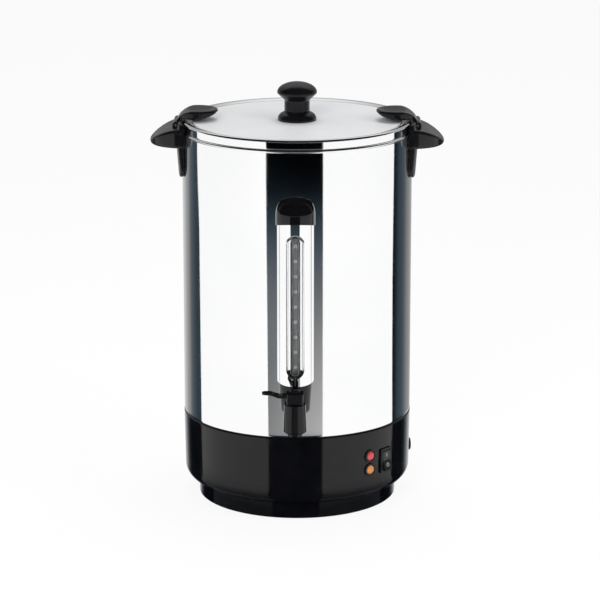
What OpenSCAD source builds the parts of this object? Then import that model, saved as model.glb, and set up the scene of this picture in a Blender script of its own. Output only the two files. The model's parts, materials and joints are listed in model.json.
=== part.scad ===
// Electric water boiler: steel tank on a moulded base, with a tap, a sight gauge,
// side handles and turning lid catches. Millimetres, +Z up, front towards -Y.
// The origin lies on the floor, under the middle of the tank.

/* [Tank] */
// Outer radius of the steel tank
tank_r = 140; // [125:1:160]
// Height of the steel wall between the base and the rim bead
tank_h = 348; // [300:1:420]
// Thickness of the tank's sheet
tank_wall = 1; // [0.8:0.1:1.5]
// Radius of the rolled bead round the rim
bead_r = 2; // [1.5:0.1:2.5]
// How far the bead stands out from the wall
bead_out = 1.5; // [1:0.1:2]
// How far the tank steps in where it enters the base
neck_step = 4.5; // [4:0.5:8]
// Depth of the stepped-in neck below the base's top edge
neck_depth = 8; // [6:0.5:16]

/* [Lid] */
// Height of the lid's upright band
lid_band_h = 11.5; // [9:0.5:16]
// Depth of the lid's panel below its rolled edge
lid_sink = 2.2; // [1.5:0.1:3.5]
// Width of the slope between the rolled edge and the panel
lid_slope_w = 7; // [5:0.5:12]
// Thickness of the lid's sheet
lid_sheet = 1; // [0.8:0.1:1.5]
// Radius of the lid's top edge
lid_edge_r = 2; // [1.5:0.1:3]
// Depth of the locating skirt inside the tank
lid_skirt_h = 12; // [8:1:20]
// Gap between the skirt and the rim bead
lid_skirt_gap = 0.8; // [0.5:0.1:2]
// How far the lid can lift under its closed catches
lid_play = 1.2; // [0.8:0.1:2]

/* [Knob] */
// Radius of the knob's flared foot
knob_foot_r = 23.6; // [18:0.2:28]
// Radius of the knob's neck
knob_neck_r = 15.8; // [12:0.2:17]
// Largest radius of the knob's cap
knob_cap_r = 24.2; // [18:0.2:30]
// Height of the knob
knob_h = 47; // [42:0.5:60]
// Height of the knob's domed top above its widest ring
knob_dome_h = 12.5; // [8:0.5:16]
// Radius of the knob screw's shank
knob_screw_r = 2.5; // [2:0.1:3]

/* [Handles] */
// Half of the handle's width where it meets the tank
handle_half_w = 41; // [34:0.5:46]
// How far the handle reaches out from the tank
handle_reach = 39; // [34:0.5:50]
// Height of the handle's top above the rim
handle_rise = 4.5; // [3:0.5:6]
// Fall of the handle's top from its root to its end
handle_drop = 15; // [10:0.5:16]
// Height of the handle's outer end
handle_end_h = 8.5; // [8:0.5:12]
// Rounding of the handle's edges
handle_edge_r = 3.4; // [2.5:0.1:3.8]
// Wall of the hollow under the handle
handle_wall = 3.5; // [3:0.1:5]
// Length of the mounting tongue below the handle
tongue_h = 38; // [28:1:50]
// Half of the tongue's width at its foot
tongue_half_w = 36; // [28:0.5:38]
// Radius of the tongue's lower corners
tongue_corner_r = 14; // [8:0.5:18]
// Thickness of the tongue at its top
tongue_top_t = 7; // [6:0.1:9]
// Thickness of the tongue at its foot
tongue_foot_t = 4.3; // [3.5:0.1:5.5]
// Radius of the handle screws
handle_screw_r = 2; // [1.5:0.1:2.5]
// Angle of each handle screw from the middle of its handle
handle_screw_az = 8; // [6:0.5:10]

/* [Catches] */
// Radius of the catch's thumb pad
pad_r = 24.5; // [22:0.5:26]
// Radius of the dished hollow in the pad
dish_r = 19.5; // [16:0.5:20.5]
// Depth of the dished hollow
dish_depth = 3.5; // [2:0.1:4.5]
// Height of the pad's rim above the lid's edge
pad_lift = 11.8; // [10.5:0.1:14]
// Height of the catch's tip below the pad's rim
tip_drop = 2.8; // [2:0.1:4]
// Distance from the catch's hinge to its tip
catch_reach = 50.5; // [48:0.5:54]
// Radius of the hinge's knuckles
knuckle_r = 4.2; // [3.8:0.1:4.8]
// Half of the width of the catch's knuckle
knuckle_half_w = 15; // [12:0.5:17]
// Width of each of the handle's knuckles
lug_w = 6; // [5:0.5:8]
// Radius of the hinge pin
hinge_pin_r = 1.6; // [1.4:0.1:2]

/* [Sight gauge] */
// Height of the guard's lower end above the base
guard_lift = 73.5; // [68:0.5:90]
// Length of the guard at its sides
guard_len = 188.5; // [150:0.5:230]
// Outer radius of the half-round guard
guard_r = 21.8; // [20:0.2:22.6]
// Thickness of the guard's sheet
guard_wall = 1.2; // [1:0.1:1.6]
// Width of the guard's slot
slot_w = 21.5; // [18:0.5:24]
// Distance from the guard's lower end to the slot
slot_foot = 6; // [4:0.5:12]
// Distance from the slot to the guard's upper end
slot_head = 7; // [4:0.5:16]
// Depth of the lip turned in round the slot
slot_lip = 3; // [2:0.1:3.5]
// Outer radius of the glass tube
tube_r = 5.65; // [5:0.05:6.5]
// Wall of the glass tube
tube_wall = 1.3; // [1:0.1:2]
// Distance of the tube's axis from the tank
tube_off = 9.5; // [9:0.1:10.5]
// Radius of the column's domed cap
cap_r = 23.5; // [22:0.1:26]
// Height of the cap's straight part
cap_straight = 8; // [8:0.5:14]
// Wall of the cap
cap_wall = 2.5; // [2:0.1:3]
// Slope of the joint between guard and cap
cap_slope = 14; // [8:0.5:16]
// Slope of the joint between guard and tap housing
foot_slope = 9; // [4:0.5:12]

/* [Tap] */
// Radius of the tap housing at its top
housing_r = 20.4; // [20:0.1:21.4]
// Radius of the tap housing at its foot
housing_foot_r = 18; // [16:0.1:19]
// Distance of the spout's axis from the tank
spout_off = 47; // [44:0.5:60]
// Height of the tap's inlet above the base
inlet_lift = 45; // [42:0.5:48]
// Radius of the tap's inlet barrel
inlet_r = 9.5; // [9:0.1:10]
// Radius of the threaded shank through the tank wall
shank_r = 8; // [7:0.1:8.5]
// Bore of the inlet
inlet_bore_r = 4.5; // [4:0.1:5]
// Radius of the spout barrel at its top
barrel_r = 12.9; // [12.5:0.1:14]
// Radius of the spout barrel at its foot
barrel_foot_r = 14; // [13:0.1:15]
// Height of the spout barrel
barrel_h = 32; // [31:0.5:36]
// Radius of the spout's nozzle
nozzle_r = 8.7; // [8:0.1:10]
// Length of the spout's nozzle
nozzle_h = 5; // [4:0.5:8]
// Bore of the nozzle
nozzle_bore_r = 6.5; // [6:0.1:7]
// Radius of the valve chamber
chamber_r = 9; // [8.6:0.1:9.5]
// Lift of the valve plunger over a quarter turn of the lever
plunger_lift = 4; // [3:0.5:5]
// Radius of the tap's spindle
spindle_r = 4; // [3.5:0.1:4.5]
// Half of the lever hub's width
hub_half_w = 10; // [8:0.1:11]
// Height of the lever's hub
hub_h = 12.5; // [11:0.5:16]
// Length of the lever from its axis to its tip
lever_len = 39; // [34:0.5:50]
// Width of the lever's blade
lever_w = 9; // [7:0.5:12]
// Rise of the lever's tip over its root
lever_rise = 3.5; // [2.5:0.5:6]

/* [Base] */
// Height of the base
base_h = 109.5; // [100:0.5:125]
// How far the base stands out from the tank
base_out = 0.5; // [0.2:0.1:2]
// Draft of the base's side towards its foot
base_draft = 1.1; // [0.5:0.1:3]
// Wall of the base
base_wall = 3; // [2.5:0.1:4]
// Rounding of the base's lower edge
base_round = 16.5; // [12:0.5:22]
// Rounding of the base's top edge
base_edge_r = 2.5; // [1:0.1:3]
// Height of the stepped-in plinth
plinth_h = 22.5; // [18:0.5:26]
// Draft of the plinth
plinth_draft = 0.8; // [0.5:0.1:4]
// Gap between the plinth and the floor
plinth_gap = 2; // [1.5:0.1:3]
// Thickness of the base's bottom cover
cover_t = 3; // [2.5:0.1:4]
// Radius of a rubber foot
foot_r = 9; // [7:0.5:12]

/* [Controls] */
// Angle of the lamps from the front
lamp_az = 40; // [30:0.5:41]
// Height of the red lamp
red_lamp_z = 77; // [74:0.5:85]
// Height of the amber lamp
amber_lamp_z = 59.5; // [52:0.5:60]
// Radius of a lamp's lens
lens_r = 5.5; // [4.5:0.1:6]
// Radius of a lamp's bezel
bezel_r = 8.2; // [7.5:0.1:8.6]
// Angle of the switch from the front
switch_az = 51; // [50:0.5:60]
// Height of the switch's middle
switch_z = 66; // [60:0.5:75]
// Width of the switch's frame
switch_w = 20; // [18:0.5:22]
// Height of the switch's frame
switch_h = 31; // [28:0.5:36]
// Width of the frame's border round the rocker
switch_border = 2.6; // [2:0.1:3]
// Travel of the rocker to each side of its middle
rocker_tilt = 9; // [6:0.5:12]
// Angle of the cord's gland from the front
gland_az = 97; // [90:0.5:105]
// Height of the cord's gland
gland_z = 54; // [45:0.5:65]
// Radius of the cord's gland
gland_r = 8; // [7:0.1:10]
// Bore of the cord's gland
gland_bore_r = 3.8; // [3:0.1:4.5]

/* [Heater] */
// Radius of the heater plate
plate_r = 80; // [70:1:90]
// Thickness of the heater plate
plate_t = 4; // [3:0.5:6]
// Radius of the heating element's ring
element_r = 62; // [52:1:66]
// Radius of the heating element's tube
element_tube_r = 4; // [3:0.1:5]

/* [Hidden] */
$fn = 96;

// Clearances
seat_gap = 0.15;
fixed_gap = 0.03;
running_gap = 0.05;
moving_gap = 0.4;
past = 1;

// Heights and radii of the tank and the lid
neck_r = tank_r - neck_step;
floor_z = base_h - neck_depth;
bead_z = base_h + tank_h + bead_r;
bead_ring_r = tank_r + bead_out - bead_r;
rim_z = bead_z + bead_r;
lid_z = rim_z + seat_gap;
lid_inset = 0.2;
lid_r = tank_r - lid_inset;
lid_top_z = lid_z + lid_band_h;
crown_z = lid_top_z - lid_sink;
skirt_r = bead_ring_r - bead_r - lid_skirt_gap;
knob_washer_t = 1.2;
knob_washer_z = crown_z - lid_sheet - seat_gap - knob_washer_t;
wall_reach = 20;

// Places of the handles and the catches
handle_top_z = rim_z + handle_rise;
handle_foot_z = handle_top_z - handle_drop - handle_end_h;
tongue_z = handle_foot_z - tongue_h;
handle_screw_z = handle_foot_z - 8;
handle_screw_len = 4;
ear_steps = 17;
ear_root_x = tank_r - 12;
rim_room_r = tank_r + bead_out + moving_gap;
hinge_x = rim_room_r + knuckle_r + moving_gap;
hinge_z = handle_top_z + knuckle_r / 2;
lug_y = knuckle_half_w + moving_gap;
tip_x = hinge_x - catch_reach;
pad_x = tip_x + pad_r;
pad_top_z = lid_top_z + pad_lift;
lid_room_z = lid_top_z + lid_play + moving_gap;

// Places along the gauge column
guard_z = base_h + guard_lift;
guard_top_z = guard_z + guard_len;
cap_mid_z = guard_top_z + cap_straight;
slot_z = guard_z + slot_foot;
slot_top_z = guard_top_z - slot_head;
tube_y = -tank_r - tube_off;
tube_z = guard_z - 10;
tube_top_z = guard_top_z + 10;
seal_t = 2.2;
strip_t = 1;

// Places in the tap
inlet_z = base_h + inlet_lift;
spout_y = -tank_r - spout_off;
barrel_top_z = inlet_z + inlet_r;
barrel_z = barrel_top_z - barrel_h;
nozzle_z = barrel_z - nozzle_h;
valve_seat_z = barrel_z + 6;
valve_seat_r = 5;
valve_seat_t = 2;
nozzle_spigot_r = (nozzle_r + nozzle_bore_r) / 2;
nozzle_spigot_h = 3;
bonnet_h = 3;
bonnet_sink = 4;
hub_z = barrel_top_z + bonnet_h + moving_gap;
hub_top_z = hub_z + hub_h;
housing_foot_z = inlet_z - inlet_r - 6;
shoulder_y = -tank_r - 8;
nut_t = 6;
gasket_t = 1.5;
inner_gasket_t = 2.5;
gasket_r = 1.7 * shank_r;
washer_t = 1.8;
plunger_z = valve_seat_z + seat_gap + washer_t;
plunger_flange_t = 2;
plunger_top_z = barrel_top_z - bonnet_sink - plunger_lift - 2;
lever_pin_r = 2.5;

// Heights and radii of the base
base_r = tank_r + base_out;
base_foot_r = base_r - base_draft;
base_round_z = plinth_h + base_round;
plinth_r = base_foot_r - base_round;
plinth_foot_r = plinth_r - plinth_draft;
cover_z = plinth_gap + 2;
cover_r = plinth_foot_r - base_wall - seat_gap;
ledge_w = 6;
ledge_t = 3;
stud_edge_gap = 13.75;
stud_ring_r = cover_r - ledge_w - stud_edge_gap;
stud_r = 2.5;
stud_count = 3;
stud_end = 3.2;
foot_edge_gap = 8.75;
foot_ring_r = cover_r - foot_r - foot_edge_gap;
foot_count = 4;

// Fittings on the base
lens_sink = 4;
bezel_t = 1.6;
bezel_stem_r = lens_r + 1.2;
bezel_depth = 9;
switch_flange_t = 1.8;
switch_depth = 14;
rocker_w = switch_w - 2 * switch_border - 2 * moving_gap;
rocker_r = switch_h / 2 - switch_border - moving_gap;
rocker_pivot_in = 4;
rocker_pin_r = 1.5;
gland_out = 3;
gland_depth = 12;
gland_stem_r = gland_r - 2;

// Fittings under the tank
element_gap_az = 24;
thermostat_r = 13;
thermostat_h = 9;

// Colours
steel = "gainsboro";
black = [0.06, 0.06, 0.07];
inner_metal = "silver";

// Points on an arc from angle a0 to angle a1, stretched to the radii rx and ry
function arc(c, rx, ry, a0, a1, n = 6) =
    [for (i = [0:n]) let (a = a0 + (a1 - a0) * i / n) [c[0] + rx * cos(a), c[1] + ry * sin(a)]];

// Turns its children from the front to an angle round the tank
module around(az) {
    rotate([0, 0, az]) children();
}

// A cylinder that points outwards, from depth y0 to y1 in front of the axis
module outward(y0, y1, r) {
    translate([0, -y0, 0]) rotate([90, 0, 0]) cylinder(h = y1 - y0, r = r);
}

// A slot outline with round ends
module stadium(w, z0, z1) {
    translate([-w / 2, z0 + w / 2]) square([w, z1 - z0 - w]);
    translate([0, z0 + w / 2]) circle(d = w);
    translate([0, z1 - w / 2]) circle(d = w);
}

// Everything above a sloping plane that passes the tank wall at height z
module above(z, slope) {
    size = 4 * cap_r;
    translate([0, -tank_r, z]) rotate([-slope, 0, 0])
        translate([-size / 2, -size / 2, 0]) cube([size, size, 8 * size]);
}

// The space taken by the tank's wall and what is inside it
module tank_core(gap) {
    cylinder(h = 2 * crown_z, r = tank_r + gap);
}

// Tank

module tank_profile() {
    polygon([[0, floor_z], [neck_r, floor_z], [neck_r, base_h], [tank_r, base_h], [tank_r, bead_z],
        [tank_r - tank_wall, bead_z], [tank_r - tank_wall, base_h + tank_wall],
        [neck_r - tank_wall, base_h + tank_wall], [neck_r - tank_wall, floor_z + tank_wall],
        [0, floor_z + tank_wall]]);
    translate([bead_ring_r, bead_z]) circle(r = bead_r, $fn = 32);
}

module tank() {
    color(steel) difference() {
        rotate_extrude() tank_profile();
        translate([0, 0, inlet_z]) outward(neck_r - wall_reach, tank_r + past, shank_r + seat_gap);
        for (side = [90, 270], a = [-handle_screw_az, handle_screw_az])
            around(side + a) translate([0, 0, handle_screw_z])
                outward(tank_r - wall_reach, tank_r + past, handle_screw_r + seat_gap);
    }
}

module tank_studs() {
    color(inner_metal) for (i = [0:stud_count - 1])
        around(i * 360 / stud_count) translate([0, -stud_ring_r, cover_z - stud_end])
            cylinder(h = floor_z - cover_z + stud_end, r = stud_r);
}

// Lid

module lid_profile() {
    inner_r = skirt_r - lid_sheet;
    roll = [lid_r - lid_edge_r, lid_top_z - lid_edge_r];
    panel_r = roll[0] - lid_edge_r - lid_slope_w;
    inner_roll_r = lid_edge_r - lid_sheet;
    roll_a = 115;
    polygon(concat([[0, crown_z], [panel_r, crown_z]], arc(roll, lid_edge_r, lid_edge_r, roll_a, 0),
        [[lid_r, lid_z], [skirt_r, lid_z], [skirt_r, lid_z - lid_skirt_h], [inner_r, lid_z - lid_skirt_h],
            [inner_r, lid_z + lid_sheet], [lid_r - lid_sheet, lid_z + lid_sheet]],
        arc(roll, inner_roll_r, inner_roll_r, 0, roll_a), [[panel_r, crown_z - lid_sheet],
            [0, crown_z - lid_sheet]]));
}

module lid() {
    color(steel) difference() {
        rotate_extrude($fn = 128) lid_profile();
        translate([0, 0, crown_z - 10]) cylinder(h = 20, r = knob_screw_r + seat_gap, $fn = 32);
    }
}

module knob_profile() {
    foot_t = 1.5;
    foot_h = 8.5;
    foot_in = 1;
    wide_z = knob_h - knob_dome_h;
    under_h = 9.5;
    ring_r = 3;
    polygon(concat([[0, 0], [knob_foot_r, 0]],
        arc([knob_neck_r - foot_in, foot_t], knob_foot_r - knob_neck_r + foot_in, foot_h, 0, 78),
        [[knob_neck_r, foot_t + foot_h + foot_in], [knob_neck_r, wide_z - under_h]],
        arc([knob_cap_r - ring_r, wide_z], ring_r, ring_r, -45, 0, 3),
        arc([0, wide_z], knob_cap_r, knob_dome_h, 10, 90, 8)));
}

module lid_knob() {
    color(black) difference() {
        translate([0, 0, crown_z]) rotate_extrude() knob_profile();
        translate([0, 0, crown_z - past]) cylinder(h = past + 17, r = knob_screw_r + fixed_gap, $fn = 32);
    }
}

module lid_knob_washer() {
    color(inner_metal) translate([0, 0, knob_washer_z]) difference() {
        cylinder(h = knob_washer_t, r = 4 * knob_screw_r);
        translate([0, 0, -past])
            cylinder(h = knob_washer_t + 2 * past, r = knob_screw_r + seat_gap, $fn = 32);
    }
}

module lid_knob_screw() {
    head_h = 3;
    head_z = knob_washer_z - head_h;
    slot_depth = 1.2;
    color(inner_metal) difference() {
        union() {
            translate([0, 0, head_z]) cylinder(h = head_h, r = 2 * knob_screw_r, $fn = 48);
            translate([0, 0, head_z]) cylinder(h = head_h + 15, r = knob_screw_r, $fn = 32);
        }
        translate([-knob_screw_r * 1.5, -0.5, head_z - past]) cube([knob_screw_r * 3, 1, past + slot_depth]);
    }
}

// Handles and catches, modelled on the +X side

// Outline of the handle seen from above, drawn in by d: a half oval with straight ends at its root
function ear_outline(d) = concat([[ear_root_x, d - handle_half_w]],
    [for (i = [0:ear_steps]) let (a = 180 * i / ear_steps - 90)
        [tank_r + (handle_reach - d) * cos(a), (handle_half_w - d) * sin(a)]],
    [[ear_root_x, handle_half_w - d]]);

// Fall of the handle's top at point k of its outline
function ear_fall(k) =
    k == 0 || k == ear_steps + 2 ? 0 : handle_drop * pow(cos(180 * (k - 1) / ear_steps - 90), 2);

// A half oval body whose top falls to its outer end, with rounded edges
module ear(inset, edge, low_z, top_gap) {
    n = ear_steps + 3;
    bends = [0, 22.5, 45, 67.5, 90];
    rings = concat([for (b = bends) [inset + edge * (1 - sin(b)), low_z + edge * (1 - cos(b)), 0]],
        [for (b = bends) [inset + edge * (1 - cos(b)), handle_top_z - top_gap - edge * (1 - sin(b)), 1]]);
    points = [for (ring = rings) let (line = ear_outline(ring[0])) for (k = [0:n - 1])
        [line[k][0], line[k][1], ring[1] - ring[2] * ear_fall(k)]];
    last = n * (len(rings) - 1);
    sides = [for (r = [0:len(rings) - 2], k = [0:n - 1]) let (a = r * n + k, b = r * n + (k + 1) % n)
        each [[a, a + n, b + n], [a, b + n, b]]];
    foot = [for (k = [0:n / 2 - 2]) each [[k, k + 1, n - 2 - k], [k, n - 2 - k, n - 1 - k]]];
    top = [for (k = [0:n / 2 - 2]) each [[last + k, last + n - 1 - k, last + n - 2 - k],
        [last + k, last + n - 2 - k, last + k + 1]]];
    polyhedron(points, concat(sides, foot, top));
}

// A round bar along the hinge's axis
module hinge_bore(r, len) {
    translate([hinge_x, 0, hinge_z]) rotate([90, 0, 0]) cylinder(h = len, r = r, center = true, $fn = 32);
}

// Outline of the mounting tongue, seen from the side of the tank
module tongue_outline() {
    corner_y = tongue_half_w - tongue_corner_r;
    corner_z = tongue_z + tongue_corner_r;
    shoulder_w = handle_half_w - 2 * handle_edge_r;
    polygon([[-tongue_half_w, corner_z], [tongue_half_w, corner_z],
        [shoulder_w, handle_foot_z + handle_end_h],
        [-shoulder_w, handle_foot_z + handle_end_h]]);
    translate([-corner_y, tongue_z]) square([2 * corner_y, tongue_corner_r + past]);
    for (side = [-1, 1])
        translate([side * corner_y, corner_z]) circle(r = tongue_corner_r, $fn = 48);
}

module tongue() {
    intersection() {
        rotate([90, 0, 90]) linear_extrude(2 * tank_r) tongue_outline();
        rotate_extrude($fn = 128) polygon([[tank_r - past, tongue_z], [tank_r + tongue_foot_t - 1, tongue_z],
            [tank_r + tongue_foot_t, tongue_z + 1], [tank_r + tongue_top_t, handle_foot_z],
            [tank_r + tongue_top_t, handle_foot_z + handle_end_h],
            [tank_r - past, handle_foot_z + handle_end_h]]);
    }
}

// The handle's share of the hinge: two knuckles that stand on its root
module hinge_lugs() {
    for (side = [-1, 1])
        translate([hinge_x, side * (lug_y + lug_w / 2), hinge_z]) {
            rotate([90, 0, 0]) cylinder(h = lug_w, r = knuckle_r, center = true, $fn = 48);
            translate([-knuckle_r, -lug_w / 2, -2 * knuckle_r]) cube([2 * knuckle_r, lug_w, 2 * knuckle_r]);
        }
}

module handle() {
    notch_r = knuckle_r + moving_gap;
    color(black) difference() {
        union() {
            difference() {
                ear(0, handle_edge_r, handle_foot_z, 0);
                intersection() {
                    ear(handle_wall, past, handle_foot_z - 2 * past, handle_wall);
                    translate([tank_r + tongue_top_t + handle_wall, -2 * handle_half_w, 0])
                        cube([handle_reach, 4 * handle_half_w, 2 * handle_top_z]);
                }
            }
            tongue();
            hinge_lugs();
        }
        tank_core(seat_gap);
        translate([0, 0, bead_z - bead_r - moving_gap]) cylinder(h = handle_top_z, r = rim_room_r, $fn = 128);
        translate([tank_r, -lug_y, hinge_z - notch_r])
            cube([hinge_x + notch_r - tank_r, 2 * lug_y, 2 * handle_top_z]);
        hinge_bore(hinge_pin_r + fixed_gap, 2 * handle_half_w);
        for (a = [-handle_screw_az, handle_screw_az])
            around(90 + a) translate([0, 0, handle_screw_z])
                outward(tank_r - past, tank_r + handle_screw_len, handle_screw_r + fixed_gap);
    }
}

module left_handle() {
    mirror([1, 0, 0]) handle();
}

module right_handle() {
    handle();
}

module handle_screws(side) {
    head_y = tank_r - tank_wall - seat_gap;
    color(inner_metal) for (a = [-handle_screw_az, handle_screw_az])
        around(side + a) translate([0, 0, handle_screw_z]) {
            outward(head_y - handle_screw_r, head_y, 2 * handle_screw_r);
            outward(head_y - handle_screw_r, tank_r + handle_screw_len - seat_gap, handle_screw_r);
        }
}

module left_handle_screws() {
    handle_screws(270);
}

module right_handle_screws() {
    handle_screws(90);
}

module catch_pin() {
    color(inner_metal) hinge_bore(hinge_pin_r, 2 * (lug_y + lug_w) - 2 * seat_gap);
}

module left_catch_pin() {
    mirror([1, 0, 0]) catch_pin();
}

module right_catch_pin() {
    catch_pin();
}

// Side view of the catch: a belly that rises to the tip, and a back that falls to the hinge
module catch_side() {
    belly_a = 205;
    belly_x = lid_r - 2 * lid_edge_r - lid_slope_w;
    tip_z = pad_top_z - tip_drop;
    belly_rx = (tip_x - belly_x) / cos(belly_a);
    belly_ry = (tip_z - lid_room_z) / (1 + sin(belly_a));
    back_h = pad_top_z + moving_gap - hinge_z;
    polygon(concat([[tip_x - past, tip_z], [tip_x - past, pad_top_z + past], [pad_x, pad_top_z + past]],
        arc([pad_x, hinge_z], hinge_x - pad_x, back_h, 90, 0, 10),
        [[hinge_x - knuckle_r, hinge_z], [rim_room_r - moving_gap, lid_room_z]],
        arc([belly_x, lid_room_z + belly_ry], belly_rx, belly_ry, 270, belly_a, 8)));
}

// Half section of the thumb pad: a disc with a rounded rim
module pad_profile() {
    rim_r = (pad_r - dish_r) / 2;
    polygon(concat([[0, lid_z], [pad_r, lid_z]],
        arc([pad_r - rim_r, pad_top_z - rim_r], rim_r, rim_r, 0, 90, 5),
        [[0, pad_top_z]]));
}

module catch() {
    dish_ball_r = (dish_r * dish_r + dish_depth * dish_depth) / (2 * dish_depth);
    neck_top_z = pad_top_z - past / 2;
    color(black) difference() {
        union() {
            intersection() {
                rotate([90, 0, 0]) linear_extrude(4 * pad_r, center = true) catch_side();
                union() {
                    translate([pad_x, 0, 0]) rotate_extrude() pad_profile();
                    translate([pad_x, -knuckle_half_w, 0])
                        cube([catch_reach, 2 * knuckle_half_w, neck_top_z]);
                }
            }
            hinge_bore(knuckle_r, 2 * knuckle_half_w);
        }
        translate([pad_x, 0, pad_top_z + dish_ball_r - dish_depth]) sphere(r = dish_ball_r);
        hinge_bore(hinge_pin_r + running_gap, 4 * pad_r);
    }
}

module left_catch() {
    mirror([1, 0, 0]) catch();
}

module right_catch() {
    catch();
}

// Sight gauge

module slot_cut(grow) {
    translate([0, -tank_r - 5, 0]) rotate([90, 0, 0]) linear_extrude(2 * guard_r)
        stadium(slot_w + 2 * grow, slot_z - grow, slot_top_z + grow);
}

module column(r, z0, z1) {
    translate([0, -tank_r, z0]) cylinder(h = z1 - z0, r = r);
}

module gauge_guard() {
    low_z = guard_z - guard_r;
    high_z = guard_top_z + guard_r;
    color(steel) difference() {
        intersection() {
            union() {
                difference() {
                    column(guard_r, low_z, high_z);
                    column(guard_r - guard_wall, low_z - past, high_z + past);
                }
                intersection() {
                    slot_cut(guard_wall);
                    difference() {
                        column(guard_r, low_z, high_z);
                        translate([0, slot_lip, 0]) column(guard_r, low_z - past, high_z + past);
                    }
                }
            }
            above(guard_z, -foot_slope);
        }
        above(guard_top_z, cap_slope);
        slot_cut(0);
        tank_core(seat_gap);
    }
}

module gauge_back_strip() {
    half_w = guard_r - guard_wall - 1.5;
    color("whitesmoke") intersection() {
        translate([0, 0, guard_z + past]) rotate_extrude($fn = 128)
            translate([tank_r + seat_gap, 0]) square([strip_t, guard_len - 2 * past]);
        translate([-half_w, -2 * tank_r, 0]) cube([2 * half_w, 2 * tank_r, 2 * guard_top_z]);
    }
}

module gauge_tube() {
    color("lightcyan", 0.5) translate([0, tube_y, tube_z]) difference() {
        cylinder(h = tube_top_z - tube_z, r = tube_r, $fn = 64);
        translate([0, 0, -past])
            cylinder(h = tube_top_z - tube_z + 2 * past, r = tube_r - tube_wall, $fn = 64);
    }
}

module seal_ring(z0, z1) {
    color([0.15, 0.15, 0.15]) translate([0, tube_y, z0]) difference() {
        cylinder(h = z1 - z0, r = tube_r + seal_t, $fn = 64);
        translate([0, 0, -past]) cylinder(h = z1 - z0 + 2 * past, r = tube_r + fixed_gap, $fn = 64);
    }
}

module gauge_top_seal() {
    seal_ring(guard_top_z + tube_off * tan(cap_slope) + past, tube_top_z);
}

module gauge_bottom_seal() {
    seal_ring(tube_z, guard_z - tube_off * tan(foot_slope) - past);
}

// The domed shape of the column's cap, drawn in by an inset
module cap_dome(inset) {
    translate([0, -tank_r, 0]) {
        translate([0, 0, guard_top_z - cap_r]) cylinder(h = cap_r + cap_straight, r = cap_r - inset);
        translate([0, 0, cap_mid_z]) sphere(r = cap_r - inset);
    }
}

module gauge_top_cap() {
    socket_r = tube_r + seal_t + cap_wall;
    color(black) difference() {
        union() {
            difference() {
                cap_dome(0);
                cap_dome(cap_wall);
            }
            intersection() {
                cap_dome(past);
                translate([0, tube_y, 0]) cylinder(h = 2 * tube_top_z, r = socket_r);
            }
        }
        difference() {
            translate([-cap_r - past, -tank_r - cap_r - past, 0])
                cube([2 * cap_r + 2 * past, cap_r + 20, cap_mid_z]);
            above(guard_top_z, cap_slope);
        }
        translate([0, tube_y, 0])
            cylinder(h = tube_top_z + fixed_gap, r = tube_r + seal_t + fixed_gap, $fn = 64);
        tank_core(seat_gap);
    }
}

// Tap

module tap_housing() {
    foot_h = 9;
    color(black) difference() {
        translate([0, -tank_r, 0]) rotate_extrude() polygon(concat([[0, housing_foot_z]],
            arc([0, housing_foot_z + foot_h], housing_foot_r, foot_h, 290, 360),
            [[housing_r, guard_z], [housing_r, guard_z + past], [0, guard_z + past]]));
        above(guard_z, -foot_slope);
        tank_core(seat_gap);
        translate([0, 0, inlet_z]) outward(tank_r - wall_reach, tank_r + 2 * housing_r, shank_r + fixed_gap);
        translate([0, 0, inlet_z]) outward(-shoulder_y, tank_r + 2 * housing_r, inlet_r + fixed_gap);
        translate([0, 0, inlet_z])
            outward(tank_r - wall_reach, tank_r + gasket_t + seat_gap, gasket_r + seat_gap);
        translate([0, tube_y, inlet_z]) cylinder(h = guard_z, r = tube_r - tube_wall, $fn = 64);
        translate([0, tube_y, tube_z]) cylinder(h = guard_z, r = tube_r + seal_t + fixed_gap, $fn = 64);
    }
}

module barrel_profile() {
    edge = 1.5;
    polygon([[0, barrel_z], [barrel_foot_r - edge, barrel_z], [barrel_foot_r, barrel_z + edge],
        [barrel_r, barrel_top_z], [0, barrel_top_z]]);
}

module tap_body() {
    shank_end_y = tank_r - tank_wall - inner_gasket_t - nut_t - 2;
    color(black) difference() {
        union() {
            translate([0, spout_y, 0]) rotate_extrude() barrel_profile();
            translate([0, 0, inlet_z]) outward(-shoulder_y + seat_gap, -spout_y, inlet_r);
            translate([0, 0, inlet_z]) outward(shank_end_y, -spout_y, shank_r);
        }
        translate([0, spout_y, valve_seat_z]) cylinder(h = barrel_h, r = chamber_r);
        translate([0, spout_y, barrel_z]) cylinder(h = barrel_h, r = valve_seat_r, $fn = 48);
        translate([0, spout_y, barrel_z])
            cylinder(h = valve_seat_z - valve_seat_t - barrel_z, r = nozzle_bore_r);
        translate([0, spout_y, barrel_z - past])
            cylinder(h = nozzle_spigot_h + past, r = nozzle_spigot_r + fixed_gap);
        translate([0, 0, inlet_z]) outward(shank_end_y - past, -spout_y, inlet_bore_r);
        translate([0, tube_y, inlet_z]) cylinder(h = 2 * inlet_r, r = inlet_bore_r / 2, $fn = 32);
    }
}

module tap_nozzle() {
    edge = 1.5;
    color(black) translate([0, spout_y, 0]) difference() {
        rotate_extrude() polygon([[0, nozzle_z], [nozzle_r - edge / 2, nozzle_z], [nozzle_r, nozzle_z + edge],
            [nozzle_r, barrel_z], [nozzle_spigot_r, barrel_z], [nozzle_spigot_r, barrel_z + nozzle_spigot_h],
            [0, barrel_z + nozzle_spigot_h]]);
        translate([0, 0, nozzle_z - past])
            cylinder(h = nozzle_h + nozzle_spigot_h + 2 * past, r = nozzle_bore_r);
    }
}

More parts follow.
